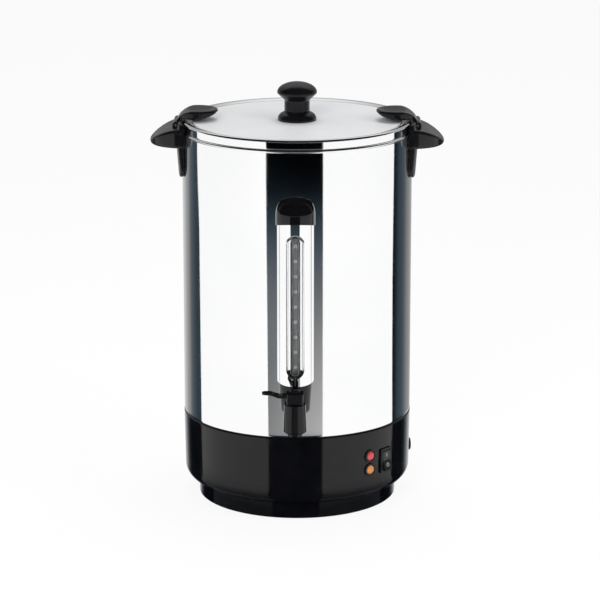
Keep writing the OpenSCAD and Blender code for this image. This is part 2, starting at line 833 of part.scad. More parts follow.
module tap_bonnet() {
    edge = 0.8;
    color(black) translate([0, spout_y, barrel_top_z]) difference() {
        rotate_extrude() polygon([[0, -bonnet_sink], [chamber_r - fixed_gap, -bonnet_sink],
            [chamber_r - fixed_gap, 0], [barrel_r, 0], [barrel_r, bonnet_h - edge],
            [barrel_r - edge, bonnet_h],
            [0, bonnet_h]]);
        translate([0, 0, -bonnet_sink - past])
            cylinder(h = bonnet_sink + bonnet_h + 2 * past, r = spindle_r + running_gap, $fn = 48);
    }
}

module tap_spindle() {
    shoulder_z = barrel_top_z - bonnet_sink - moving_gap;
    color("darkgoldenrod") translate([0, spout_y, 0]) {
        translate([0, 0, plunger_top_z - 4])
            cylinder(h = shoulder_z - plunger_top_z + 5, r = lever_pin_r, $fn = 32);
        translate([0, 0, shoulder_z]) cylinder(h = hub_top_z - shoulder_z, r = spindle_r, $fn = 48);
    }
}

// A square outline with round corners
module rounded_square(w, d, r) {
    square([w - 2 * r, d], center = true);
    square([w, d - 2 * r], center = true);
    for (x = [-1, 1], y = [-1, 1])
        translate([x * (w / 2 - r), y * (d / 2 - r)]) circle(r = r, $fn = 32);
}

// The lever's thin blade: an S-curve from the hub to a rounded tip
module lever_blade() {
    root_t = 4.6;
    tip_t = 2.6;
    steps = 12;
    dip = 0.8;
    bend_at = 0.45;
    bend_len = 0.33;
    root_z = hub_top_z - root_t / 2 - 0.8;
    s = [for (i = [0:steps]) i / steps];
    mid = [for (t = s) let (u = min(1, max(0, (t - bend_at) / bend_len)))
        root_z - dip * min(1, t / bend_at) + lever_rise * u * u * (3 - 2 * u)];
    upper = [for (i = [0:steps]) [-lever_len * s[i], mid[i] + (root_t + (tip_t - root_t) * s[i]) / 2]];
    lower = [for (i = [steps:-1:0]) [-lever_len * s[i], mid[i] - (root_t + (tip_t - root_t) * s[i]) / 2]];
    intersection() {
        translate([0, spout_y + lever_w, 0]) rotate([90, 0, 0]) linear_extrude(2 * lever_w)
            polygon(concat(upper, lower));
        translate([0, spout_y, 0]) linear_extrude(2 * hub_top_z) {
            translate([-lever_len + lever_w / 2, 0]) circle(d = lever_w, $fn = 32);
            translate([-lever_len + lever_w / 2, -lever_w / 2]) square([lever_len, lever_w]);
        }
    }
}

module tap_lever() {
    color(black) difference() {
        union() {
            translate([0, spout_y, hub_z]) linear_extrude(hub_h)
                rounded_square(2 * hub_half_w, 1.8 * hub_half_w, 2.5);
            lever_blade();
        }
        translate([0, spout_y, 0]) cylinder(h = 2 * hub_top_z, r = spindle_r + fixed_gap, $fn = 48);
    }
}

module tap_lever_cap() {
    button_r = spindle_r + 2;
    button_h = 4;
    color(black) translate([0, spout_y, hub_top_z]) rotate_extrude()
        polygon(concat([[0, 0], [button_r, 0]], arc([0, button_h - 2], button_r, 2, 0, 90)));
}

module tap_plunger() {
    socket_depth = 4 + plunger_lift + past;
    color("tan") translate([0, spout_y, 0]) difference() {
        union() {
            translate([0, 0, plunger_z]) cylinder(h = plunger_flange_t, r = chamber_r - 1.5);
            translate([0, 0, plunger_z])
                cylinder(h = plunger_top_z - plunger_z, r = lever_pin_r + 2.5, $fn = 48);
        }
        translate([0, 0, plunger_top_z - socket_depth])
            cylinder(h = socket_depth + past, r = lever_pin_r + running_gap, $fn = 32);
    }
}

module tap_washer() {
    color([0.15, 0.15, 0.15]) translate([0, spout_y, plunger_z - washer_t])
        cylinder(h = washer_t, r = chamber_r - 1.5);
}

// Sealing rings on both faces of the tank wall, shaped to its curve
module tap_gasket() {
    inner_r = tank_r - tank_wall - seat_gap;
    color([0.15, 0.15, 0.15]) difference() {
        union() {
            difference() {
                translate([0, 0, inlet_z]) outward(tank_r - 5, tank_r + gasket_t, gasket_r);
                tank_core(seat_gap);
            }
            intersection() {
                translate([0, 0, inlet_z]) outward(tank_r - tank_wall - inner_gasket_t, tank_r, gasket_r);
                cylinder(h = 2 * inlet_z, r = inner_r);
            }
        }
        translate([0, 0, inlet_z]) outward(tank_r - wall_reach, tank_r + wall_reach, shank_r + fixed_gap);
    }
}

module tap_nut() {
    face_y = tank_r - tank_wall - inner_gasket_t;
    color(inner_metal) difference() {
        translate([0, -face_y + nut_t, inlet_z]) rotate([90, 0, 0])
            cylinder(h = nut_t, r = 1.6 * shank_r, $fn = 6);
        translate([0, 0, inlet_z]) outward(face_y - nut_t - past, face_y + past, shank_r + fixed_gap);
    }
}

// Base

// Outer radius of the base's side at height z
function base_r_at(z) = base_foot_r + base_draft * (z - base_round_z) / (base_h - base_round_z);

module base_profile() {
    foot_in_r = plinth_foot_r - base_wall;
    ledge_z = cover_z + cover_t;
    neck_room_r = neck_r + 2 * seat_gap;
    polygon(concat(arc([base_r - base_edge_r, base_h - base_edge_r], base_edge_r, base_edge_r, 90, 0),
        arc([plinth_r, base_round_z], base_round, base_round, 0, -90, 8),
        [[plinth_foot_r, plinth_gap], [foot_in_r, plinth_gap], [foot_in_r, ledge_z],
            [foot_in_r - ledge_w, ledge_z], [foot_in_r - ledge_w, ledge_z + ledge_t],
            [plinth_r - base_wall, ledge_z + ledge_t], [plinth_r - base_wall, plinth_h + base_wall]],
        arc([plinth_r, base_round_z], base_round - base_wall, base_round - base_wall, -90, 0, 8),
        [[base_r - base_wall, base_h - ledge_t], [neck_room_r, base_h - ledge_t], [neck_room_r, base_h]]));
}

module base_housing() {
    cut = base_wall + 10;
    color(black) difference() {
        rotate_extrude($fn = 128) base_profile();
        for (z = [red_lamp_z, amber_lamp_z])
            around(lamp_az) translate([0, 0, z])
                outward(base_r - cut, base_r + past, bezel_stem_r + fixed_gap);
        around(switch_az) translate([0, -base_r + cut, switch_z]) rotate([90, 0, 0]) linear_extrude(2 * cut)
            square([switch_w - switch_border + 2 * fixed_gap, switch_h - switch_border + 2 * fixed_gap],
                center = true);
        around(gland_az) translate([0, 0, gland_z])
            outward(base_r - cut, base_r + past, gland_stem_r + fixed_gap);
    }
}

module base_cover() {
    vent_count = 9;
    vent_r = 60;
    vent_w = 4;
    vent_len = 26;
    color(black) difference() {
        translate([0, 0, cover_z]) cylinder(h = cover_t, r = cover_r);
        for (i = [0:stud_count - 1])
            around(i * 360 / stud_count) translate([0, -stud_ring_r, 0])
                cylinder(h = 2 * cover_z + cover_t, r = stud_r + seat_gap, $fn = 32);
        for (i = [0:vent_count - 1])
            around(i * 360 / vent_count) translate([0, -vent_r, 0]) linear_extrude(2 * cover_z + cover_t)
                stadium(vent_w, -vent_len / 2, vent_len / 2);
    }
}

module base_nuts() {
    nut_h = 3;
    color(inner_metal) for (i = [0:stud_count - 1])
        around(i * 360 / stud_count) translate([0, -stud_ring_r, cover_z - nut_h]) difference() {
            cylinder(h = nut_h, r = 1.9 * stud_r, $fn = 6);
            translate([0, 0, -past]) cylinder(h = nut_h + 2 * past, r = stud_r + fixed_gap, $fn = 32);
        }
}

module rubber_feet() {
    edge = 1;
    color([0.12, 0.12, 0.12]) for (i = [0:foot_count - 1])
        around((i + 0.5) * 360 / foot_count) translate([0, -foot_ring_r, 0]) rotate_extrude($fn = 48)
            polygon([[0, 0], [foot_r - edge, 0], [foot_r, edge], [foot_r, cover_z], [0, cover_z]]);
}

// Lamps, switch and cord gland

// A ring and stem that hold a lamp's lens
module lamp_bezel(z) {
    face_y = base_r_at(z) + 2 * seat_gap;
    edge = 0.6;
    around(lamp_az) translate([0, -face_y, z]) rotate([90, 0, 0]) difference() {
        rotate_extrude($fn = 64) polygon([[0, -bezel_depth], [bezel_stem_r, -bezel_depth], [bezel_stem_r, 0],
            [bezel_r, 0], [bezel_r, bezel_t - edge], [bezel_r - edge, bezel_t], [lens_r + 1, bezel_t],
            [lens_r, bezel_t - 1], [0, bezel_t - 1]]);
        translate([0, 0, -lens_sink]) cylinder(h = lens_sink + 2 * bezel_t, r = lens_r + fixed_gap, $fn = 64);
    }
}

// A domed lens
module lamp_lens(z) {
    face_y = base_r_at(z) + 2 * seat_gap;
    dome_h = 1.6;
    around(lamp_az) translate([0, -face_y, z]) rotate([90, 0, 0]) rotate_extrude($fn = 64)
        polygon(concat([[0, -lens_sink], [lens_r, -lens_sink]],
            arc([0, bezel_t - dome_h / 2], lens_r, dome_h, 0, 90)));
}

module red_lamp_bezel() {
    color(black) lamp_bezel(red_lamp_z);
}

module red_lamp_lens() {
    color("red") lamp_lens(red_lamp_z);
}

module amber_lamp_bezel() {
    color(black) lamp_bezel(amber_lamp_z);
}

module amber_lamp_lens() {
    color("orange") lamp_lens(amber_lamp_z);
}

// Puts the switch's pieces at the base's side: x across, y up, z outwards
module at_switch() {
    around(switch_az) translate([0, -base_r_at(switch_z) - 3 * seat_gap, switch_z])
        rotate([90, 0, 0]) children();
}

module switch_frame() {
    opening_w = switch_w - 2 * switch_border;
    opening_h = switch_h - 2 * switch_border;
    color(black) at_switch() difference() {
        union() {
            linear_extrude(switch_flange_t) rounded_square(switch_w, switch_h, 2);
            translate([0, 0, -switch_depth]) linear_extrude(switch_depth)
                square([switch_w - switch_border, switch_h - switch_border], center = true);
        }
        translate([0, 0, -switch_depth + 2]) linear_extrude(2 * switch_depth)
            square([opening_w, opening_h], center = true);
        translate([-switch_w, 0, switch_flange_t - rocker_pivot_in]) rotate([0, 90, 0])
            cylinder(h = 2 * switch_w, r = rocker_pin_r + running_gap, $fn = 32);
    }
}

module switch_rocker() {
    face = rocker_pivot_in + 0.4;
    back = 4;
    rise = rocker_r * tan(rocker_tilt);
    pin_len = switch_w - 1.6 * switch_border;
    color([0.08, 0.08, 0.08]) at_switch() translate([0, 0, switch_flange_t - rocker_pivot_in])
        rotate([-rocker_tilt, 0, 0]) {
            intersection() {
                translate([-rocker_w / 2, 0, 0]) rotate([90, 0, 90]) linear_extrude(rocker_w)
                    polygon([[-rocker_r, -back], [rocker_r, -back], [rocker_r, face + rise], [0, face],
                        [-rocker_r, face + rise]]);
                translate([-rocker_w, 0, 0]) rotate([0, 90, 0]) cylinder(h = 2 * rocker_w, r = rocker_r);
            }
            translate([-pin_len / 2, 0, 0]) rotate([0, 90, 0])
                cylinder(h = pin_len, r = rocker_pin_r, $fn = 32);
        }
}

module cord_gland() {
    face_y = base_r_at(gland_z) + 2 * seat_gap;
    edge = 1.2;
    color(black) around(gland_az) translate([0, -face_y, gland_z]) rotate([90, 0, 0]) difference() {
        rotate_extrude($fn = 64) polygon([[0, -gland_depth], [gland_stem_r, -gland_depth], [gland_stem_r, 0],
            [gland_r, 0], [gland_r, gland_out - edge], [gland_r - edge, gland_out], [0, gland_out]]);
        translate([0, 0, -gland_depth - past])
            cylinder(h = gland_depth + gland_out + 2 * past, r = gland_bore_r, $fn = 48);
    }
}

module cord_gland_nut() {
    nut_h = 4;
    face_y = base_r_at(gland_z) - base_wall - 3 * seat_gap;
    color(black) around(gland_az) translate([0, -face_y + nut_h, gland_z]) rotate([90, 0, 0]) difference() {
        cylinder(h = nut_h, r = 1.5 * gland_stem_r, $fn = 6);
        translate([0, 0, -past]) cylinder(h = nut_h + 2 * past, r = gland_stem_r + fixed_gap, $fn = 48);
    }
}

// Heater and controls under the tank

module heater_plate() {
    color(inner_metal) translate([0, 0, floor_z - plate_t]) cylinder(h = plate_t, r = plate_r);
}

module heating_element() {
    lead_h = 16;
    color("dimgray") translate([0, 0, floor_z - plate_t]) {
        rotate([0, 0, 90 + element_gap_az / 2]) rotate_extrude(angle = 360 - element_gap_az)
            polygon(arc([element_r, 0], element_tube_r, element_tube_r, 180, 360, 10));
        for (side = [-1, 1])
            around(180 + side * (element_gap_az / 2 + 4)) translate([0, -element_r, -lead_h])
                cylinder(h = lead_h, r = element_tube_r - 1, $fn = 32);
    }
}

// A disc-shaped thermal control held against the heater plate
module thermostat(x, y, r) {
    color("ivory") translate([x, y, floor_z - plate_t - thermostat_h]) {
        translate([0, 0, thermostat_h - 2]) cylinder(h = 2, r = r, $fn = 64);
        cylinder(h = thermostat_h, r = r - 2, $fn = 64);
        for (side = [-1, 1])
            translate([side * r / 2 - 0.5, -3, -7]) cube([1, 6, 8]);
    }
}

module boil_thermostat() {
    thermostat(-26, 12, thermostat_r);
}

module warm_thermostat() {
    thermostat(26, 12, thermostat_r);
}

module dry_cutout() {
    thermostat(0, -30, thermostat_r - 3);
}

module terminal_block() {
    block_w = 44;
    block_d = 18;
    block_h = 15;
    poles = 3;
    color("ivory") translate([-block_w / 2, stud_ring_r - 60, cover_z + cover_t]) difference() {
        cube([block_w, block_d, block_h]);
        for (i = [0:poles - 1])
            translate([(i + 0.5) * block_w / poles, block_d / 2, 5]) cylinder(h = block_h, r = 3, $fn = 32);
    }
}

tank();
tank_studs();
lid();
lid_knob();
lid_knob_washer();
lid_knob_screw();
left_handle();
right_handle();
left_handle_screws();
right_handle_screws();
left_catch_pin();
right_catch_pin();
left_catch();
right_catch();
gauge_guard();
gauge_back_strip();
gauge_tube();
gauge_top_cap();
gauge_top_seal();
gauge_bottom_seal();
tap_housing();
tap_body();
tap_nozzle();
tap_bonnet();
tap_spindle();
tap_lever();
tap_lever_cap();
tap_plunger();
tap_washer();
tap_gasket();
tap_nut();
base_housing();
base_cover();
base_nuts();
rubber_feet();
red_lamp_bezel();
red_lamp_lens();
amber_lamp_bezel();
amber_lamp_lens();
switch_frame();
switch_rocker();
cord_gland();
cord_gland_nut();
heater_plate();
heating_element();
boil_thermostat();
warm_thermostat();
dry_cutout();
terminal_block();
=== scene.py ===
"""Looks of the electric water boiler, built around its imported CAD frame. Metres, +Z up, the tap at -Y."""
import json
import math

import bmesh
import bpy
from mathutils import Matrix, Vector


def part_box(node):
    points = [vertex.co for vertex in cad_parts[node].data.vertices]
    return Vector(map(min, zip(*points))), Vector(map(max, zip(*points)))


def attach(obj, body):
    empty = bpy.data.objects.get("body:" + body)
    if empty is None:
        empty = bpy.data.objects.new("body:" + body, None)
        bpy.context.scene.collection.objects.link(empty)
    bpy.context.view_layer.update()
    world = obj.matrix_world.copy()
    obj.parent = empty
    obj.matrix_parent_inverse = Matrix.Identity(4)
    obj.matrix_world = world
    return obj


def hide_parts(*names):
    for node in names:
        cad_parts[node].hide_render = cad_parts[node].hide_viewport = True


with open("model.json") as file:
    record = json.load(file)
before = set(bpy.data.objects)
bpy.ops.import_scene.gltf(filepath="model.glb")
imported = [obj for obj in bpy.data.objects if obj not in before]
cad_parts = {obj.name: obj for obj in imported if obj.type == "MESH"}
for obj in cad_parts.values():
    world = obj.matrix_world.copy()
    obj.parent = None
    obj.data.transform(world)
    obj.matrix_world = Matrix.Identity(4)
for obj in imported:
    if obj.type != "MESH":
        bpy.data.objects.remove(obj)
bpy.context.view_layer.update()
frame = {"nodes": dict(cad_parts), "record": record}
nodes = frame["nodes"]

MM = 0.001

# Segments round the tank and the lid, and round the knob; steps round a plate's corner
FINE, ROUND, CORNER_STEPS = 256, 96, 4

# Sizes read from the frame's boxes
RIM_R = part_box("tank")[1].x
RIM_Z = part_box("tank")[1].z
BASE_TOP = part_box("base_housing")[1].z
LID_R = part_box("lid")[1].x
LID_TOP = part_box("lid")[1].z
GUARD_LOW, GUARD_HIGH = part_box("gauge_guard")

# The camera: its bearing from the front, pitch and slight turn aside in degrees, its distance from the part's
# axis and its height, and its sensor's width and lens in millimetres
EYE_BEARING, EYE_PITCH, EYE_ASIDE = 0.8, 14.6, 0.06
EYE_DISTANCE, EYE_HEIGHT = 3.4, 1.13
SENSOR_W, LENS = 36, 170.5
EYE = Vector((EYE_DISTANCE * math.sin(math.radians(EYE_BEARING)),
              -EYE_DISTANCE * math.cos(math.radians(EYE_BEARING)), EYE_HEIGHT))

# The tank's sheet, its bead, which stands out past the wall, and its stepped-in neck; the base's plinth
SHEET = 1 * MM
BEAD_R, BEAD_OUT = 2 * MM, 1.5 * MM
TANK_R = RIM_R - BEAD_OUT
BEAD_Z = RIM_Z - BEAD_R
NECK_R = TANK_R - 4.5 * MM
FLOOR_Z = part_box("tank")[0].z
PLINTH_TOP = 22 * MM
PLINTH_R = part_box("base_cover")[1].x + 1.5 * MM

# The gauge: its slot, the slope under its cap in degrees, and the marks on its grey plate
SLOT_W = 21.5 * MM
SLOT_LOW, SLOT_HIGH = 189 * MM, 364.5 * MM
CAP_SLOPE = 14
MARK_LOW, MARK_PITCH, MARK_COUNT = 198.6 * MM, 18.55 * MM, 9

# The slot's trim: its section (inset, depth) in millimetres, the width of its steep bevel, the least share of
# the shallow bevel left at the foot, and how far that bevel comes forward there
TRIM = [(0, 0.1), (2.5, 3.8), (2.7, 4.0), (4.8, 5.2), (4.8, 5.9), (2.5, 5.0), (0, 3.4)]
TRIM_STEEP, TRIM_LEAST, TRIM_LIFT = 2.7 * MM, 0.02, 1.2 * MM

# A catch's belly from its root inwards: distance from the axis, underside, top and half width in millimetres
BELLY = [(137.5, 475.2, 477, 17), (134.5, 474.8, 477.6, 20), (131, 474.7, 478, 21.5),
         (128, 473.6, 478.5, 21.5), (124, 472.8, 480, 22.6), (118, 473.2, 480.5, 23.2),
         (111, 475.3, 481, 21.4), (105, 478.2, 481.5, 17), (100.5, 480.6, 482, 11)]

# A handle's shoulder in millimetres: inner and outer radius, foot, and its top by the distance aside
SHOULDER_IN, SHOULDER_OUT, SHOULDER_LOW = 141.9, 148.5, 460
SHOULDER_TOPS = [(25.6, 473.3), (30, 473.5), (36, 473.2), (39.5, 472.3), (41.3, 470.5), (42, 467.8)]

# Rounding of the moulded CAD pieces: grid for the handles and for the catches, and passes of smoothing
HANDLE_GRID, CATCH_GRID, SMOOTH_PASSES = 0.6 * MM, 0.5 * MM, 14

# The rocker: bearing and tilt in degrees, and its face in front of the pivot
SWITCH_TURN, ROCKER_TILT, ROCKER_FACE = 51, 9, 4.4 * MM


# Mesh helpers

def arc(centre, radius, start, end, steps=8, height=None):
    """Points (r, z) of an elliptic arc, angles in degrees from +r towards +z."""
    rise = radius if height is None else height
    angles = [math.radians(start + (end - start) * i / steps) for i in range(steps + 1)]
    return [(centre[0] + radius * math.cos(a), centre[1] + rise * math.sin(a)) for a in angles]


def new_object(name, verts, faces):
    """A linked mesh object whose faces point outwards."""
    mesh = bpy.data.meshes.new(name)
    mesh.from_pydata(verts, [], faces)
    work = bmesh.new()
    work.from_mesh(mesh)
    bmesh.ops.remove_doubles(work, verts=work.verts, dist=1e-7)
    bmesh.ops.recalc_face_normals(work, faces=work.faces)
    work.to_mesh(mesh)
    work.free()
    piece = bpy.data.objects.new(name, mesh)
    bpy.context.scene.collection.objects.link(piece)
    return piece


def soften(piece, angle=32):
    """Smooth shading that keeps edges sharper than the angle, in degrees."""
    for face in piece.data.polygons:
        face.use_smooth = True
    piece.data.set_sharp_from_angle(angle=math.radians(angle))


def revolve(name, profile, segments, closed=True):
    """A body turned about the part's upright axis from (r, z) points."""
    verts, rings = [], []
    for r, z in profile:
        count = segments if r > 1e-7 else 1
        turn = [2 * math.pi * i / segments for i in range(count)]
        rings.append(range(len(verts), len(verts) + count))
        verts += [(r * math.sin(a), -r * math.cos(a), z) for a in turn]
    faces = []
    last = len(rings) if closed else len(rings) - 1
    for i in range(last):
        low, high = rings[i], rings[(i + 1) % len(rings)]
        if len(low) == 1 and len(high) == 1:
            continue
        for k in range(segments):
            corners = [low[k % len(low)], low[(k + 1) % len(low)]]
            corners += [high[(k + 1) % len(high)], high[k % len(high)]]
            faces.append(tuple(dict.fromkeys(corners)))
    piece = new_object(name, verts, faces)
    soften(piece)
    return piece


def skin(name, rows, ends=True, angle=32):
    """A skin over closed rows of equally many points, with flat ends, or else closed on itself."""
    wide, tall = len(rows[0]), len(rows)
    verts = [point for row in rows for point in row]
    faces = []
    for r in range(tall - 1 if ends else tall):
        low, high = r * wide, (r + 1) % tall * wide
        for c in range(wide):
            d = (c + 1) % wide
            faces.append((low + c, low + d, high + d, high + c))
    if ends:
        faces += [tuple(range(wide)), tuple(range(len(verts) - wide, len(verts)))]
    piece = new_object(name, verts, faces)
    soften(piece, angle)
    return piece


def rounded_box(width, height, corner, centre):
    """Points (x, z) round an upright rectangle with round corners."""
    points = []
    for k, (sx, sz) in enumerate([(1, 1), (-1, 1), (-1, -1), (1, -1)]):
        middle = (centre[0] + sx * (width / 2 - corner), centre[1] + sz * (height / 2 - corner))
        points += arc(middle, corner, 90 * k, 90 * k + 90, CORNER_STEPS)
    return points


def slab(outlines, back, front, name, place=Matrix()):
    """Thin plates with broken front edges, cut to outlines (x, z) between two depths y, all in one piece."""
    edge = 0.2 * abs(back - front)
    verts, faces = [], []
    for outline in outlines:
        wide = len(outline)
        mid_x = sum(x for x, z in outline) / wide
        mid_z = sum(z for x, z in outline) / wide
        first = len(verts)
        for y, inset in ((back, 0), (front + edge, 0), (front, edge)):
            for x, z in outline:
                reach = math.hypot(x - mid_x, z - mid_z)
                keep = 1 - inset / reach
                verts.append(place @ Vector((mid_x + (x - mid_x) * keep, y, mid_z + (z - mid_z) * keep)))
        for low in (first, first + wide):
            for c in range(wide):
                d = (c + 1) % wide
                faces.append((low + c, low + d, low + wide + d, low + wide + c))
        faces += [tuple(range(first, first + wide)), tuple(range(first + 2 * wide, first + 3 * wide))]
    piece = new_object(name, verts, faces)
    soften(piece, 40)
    return piece


def fit(piece, material, slot, body, *replaced):
    """Gives a piece its finish and its body, and lets it stand for CAD nodes."""
    piece.data.materials.clear()
    piece.data.materials.append(material)
    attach(piece, body)
    if replaced:
        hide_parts(*replaced)


# Materials

# The middle range of a noise's values
NOISE_LOW, NOISE_HIGH = 0.3, 0.7


def shader(name, colour, roughness, metallic=0.0):
    """A material with plain values on its Principled shader; returns it with its node tree and shader."""
    material = bpy.data.materials.new(name)
    material.use_nodes = True
    tree = material.node_tree
    principled = tree.nodes["Principled BSDF"]
    principled.inputs["Base Color"].default_value = (*colour, 1)
    principled.inputs["Roughness"].default_value = roughness
    principled.inputs["Metallic"].default_value = metallic
    return material, tree, principled


def noise(tree, scale, detail=3.0, stretch=(1, 1, 1)):
    """The value of a noise texture in the object's own coordinates, in cells per metre."""
    place = tree.nodes.new("ShaderNodeTexCoord")
    mapping = tree.nodes.new("ShaderNodeMapping")
    mapping.inputs["Scale"].default_value = stretch
    texture = tree.nodes.new("ShaderNodeTexNoise")
    texture.inputs["Scale"].default_value = scale
    texture.inputs["Detail"].default_value = detail
    tree.links.new(place.outputs["Object"], mapping.inputs["Vector"])
    tree.links.new(mapping.outputs["Vector"], texture.inputs["Vector"])
    return texture.outputs["Fac"]


def ramp_value(tree, value, start, end, low, high):
    """A value that runs from low to high while another runs from start to end."""
    remap = tree.nodes.new("ShaderNodeMapRange")
    remap.inputs["From Min"].default_value = start
    remap.inputs["From Max"].default_value = end
    remap.inputs["To Min"].default_value = low
    remap.inputs["To Max"].default_value = high
    tree.links.new(value, remap.inputs["Value"])
    return remap.outputs["Result"]


def spread(tree, value, socket, low, high):
    """Maps a noise value's middle range onto a socket."""
    tree.links.new(ramp_value(tree, value, NOISE_LOW, NOISE_HIGH, low, high), socket)


def tint(tree, value, socket, dark, light):
    """Runs a noise value from a dark to a light colour onto a socket."""
    ramp = tree.nodes.new("ShaderNodeValToRGB")
    ramp.color_ramp.elements[0].position = NOISE_LOW
    ramp.color_ramp.elements[1].position = NOISE_HIGH
    ramp.color_ramp.elements[0].color = (*dark, 1)
    ramp.color_ramp.elements[1].color = (*light, 1)
    tree.links.new(value, ramp.inputs["Fac"])
    tree.links.new(ramp.outputs["Color"], socket)


def relief(tree, principled, value, distance):
    """Adds a bump of the given depth in metres, on top of any bump already there."""
    bump = tree.nodes.new("ShaderNodeBump")
    bump.inputs["Strength"].default_value = 1.0
    bump.inputs["Distance"].default_value = distance
    tree.links.new(value, bump.inputs["Height"])
    if principled.inputs["Normal"].is_linked:
        tree.links.new(principled.inputs["Normal"].links[0].from_socket, bump.inputs["Normal"])
    tree.links.new(bump.outputs["Normal"], principled.inputs["Normal"])


def mirror_steel():
    """Mirror-polished sheet with faint polishing lines and a slow change of gloss."""
    material, tree, principled = shader("mirror_steel", (0.96, 0.96, 0.965), 0.05, 1.0)
    tint(tree, noise(tree, 9), principled.inputs["Base Color"], (0.95, 0.955, 0.96), (0.98, 0.98, 0.98))
    spread(tree, noise(tree, 14, 5), principled.inputs["Roughness"], 0.03, 0.07)
    relief(tree, principled, noise(tree, 700, 2, (1, 1, 0.05)), 0.002 * MM)
    return material


def spun_steel():
    """Sheet with a fine satin spun over it in rings."""
    material, tree, principled = shader("spun_steel", (0.68, 0.68, 0.69), 0.45, 0.1)
    tint(tree, noise(tree, 11), principled.inputs["Base Color"], (0.655, 0.66, 0.675), (0.695, 0.70, 0.715))
    spread(tree, noise(tree, 16, 5), principled.inputs["Roughness"], 0.42, 0.5)
    place = tree.nodes.new("ShaderNodeTexCoord")
    rings = tree.nodes.new("ShaderNodeTexWave")
    rings.wave_type = "RINGS"
    rings.rings_direction = "Z"
    rings.inputs["Scale"].default_value = 260
    rings.inputs["Distortion"].default_value = 1.5
    tree.links.new(place.outputs["Object"], rings.inputs["Vector"])
    relief(tree, principled, rings.outputs["Fac"], 0.0015 * MM)
    return material


def plated_steel():
    """Zinc-plated fixings, with a fine mottle."""
    material, tree, principled = shader("plated_steel", (0.62, 0.62, 0.62), 0.3, 1.0)
    tint(tree, noise(tree, 240), principled.inputs["Base Color"], (0.55, 0.55, 0.56), (0.68, 0.68, 0.67))
    spread(tree, noise(tree, 420, 4), principled.inputs["Roughness"], 0.24, 0.4)
    relief(tree, principled, noise(tree, 2500), 0.02 * MM)
    return material


def moulded(name, dark, light, gloss, grain, depth, shine=0.5):
    """Moulded plastic: a slight colour drift, gloss from low to high and a fine surface grain."""
    material, tree, principled = shader(name, dark, gloss[0])
    tint(tree, noise(tree, 60, 4), principled.inputs["Base Color"], dark, light)
    spread(tree, noise(tree, 90, 4), principled.inputs["Roughness"], *gloss)
    relief(tree, principled, noise(tree, grain), depth)
    principled.inputs["Specular IOR Level"].default_value = shine
    return material


def clear_glass():
    """The sight glass, hardly tinted and slightly uneven in its gloss."""
    material, tree, principled = shader("clear_glass", (0.96, 0.97, 0.97), 0.02)
    principled.inputs["Transmission Weight"].default_value = 1.0
    principled.inputs["IOR"].default_value = 1.47
    tint(tree, noise(tree, 30), principled.inputs["Base Color"], (0.93, 0.95, 0.95), (0.97, 0.98, 0.98))
    spread(tree, noise(tree, 50, 4), principled.inputs["Roughness"], 0.01, 0.04)
    return material


def lamp_lens(name, dark, light):
    """Tinted glossy plastic over a lamp that is off, with a slight colour drift."""
    material, tree, principled = shader(name, dark, 0.12)
    tint(tree, noise(tree, 300), principled.inputs["Base Color"], dark, light)
    spread(tree, noise(tree, 500), principled.inputs["Roughness"], 0.08, 0.2)
    principled.inputs["Coat Weight"].default_value = 0.6
    principled.inputs["Coat Roughness"].default_value = 0.05
    return material


def metal(name, dark, light, gloss, grain):
    """A bare metal: a slight colour drift, gloss from low to high and a fine surface grain."""
    material, tree, principled = shader(name, dark, gloss[0], 1.0)
    tint(tree, noise(tree, 120, 4), principled.inputs["Base Color"], dark, light)
    spread(tree, noise(tree, 200, 4), principled.inputs["Roughness"], *gloss)
    relief(tree, principled, noise(tree, grain), 0.02 * MM)
    return material


# Moulded finishes by slot: dark and light colour, gloss from low to high, grain in cells per metre, the
# grain's depth and, where it isn't the usual one, the shine
MOULDED = {
    "black_phenolic": ((0.003, 0.003, 0.004), (0.006, 0.006, 0.007), (0.18, 0.28), 1400, 0.01 * MM, 0.36),
    "gloss_black": ((0.002, 0.002, 0.003), (0.004, 0.004, 0.005), (0.06, 0.12), 500, 0.004 * MM, 0.34),
    "satin_black": ((0.006, 0.006, 0.007), (0.011, 0.011, 0.012), (0.4, 0.55), 2200, 0.02 * MM),
    "switch_black": ((0.006, 0.006, 0.007), (0.010, 0.010, 0.011), (0.25, 0.35), 1800, 0.01 * MM),
    "white_strip": ((0.88, 0.88, 0.87), (0.92, 0.92, 0.91), (0.25, 0.4), 600, 0.01 * MM),
    "black_rubber": ((0.02, 0.02, 0.02), (0.035, 0.035, 0.035), (0.6, 0.8), 1600, 0.04 * MM),
    "valve_plastic": ((0.55, 0.50, 0.40), (0.64, 0.59, 0.49), (0.4, 0.55), 1500, 0.02 * MM),
    "ceramic_ivory": ((0.66, 0.62, 0.52), (0.74, 0.70, 0.61), (0.35, 0.5), 1200, 0.02 * MM),
}

# Plain metals by slot: dark and light colour, gloss from low to high and grain in cells per metre
METALS = {
    "brass": ((0.62, 0.45, 0.19), (0.72, 0.55, 0.26), (0.25, 0.4), 1800),
    "aluminium": ((0.66, 0.66, 0.67), (0.78, 0.78, 0.79), (0.35, 0.5), 900),
    "element_metal": ((0.16, 0.15, 0.15), (0.26, 0.25, 0.25), (0.45, 0.6), 1400),
}

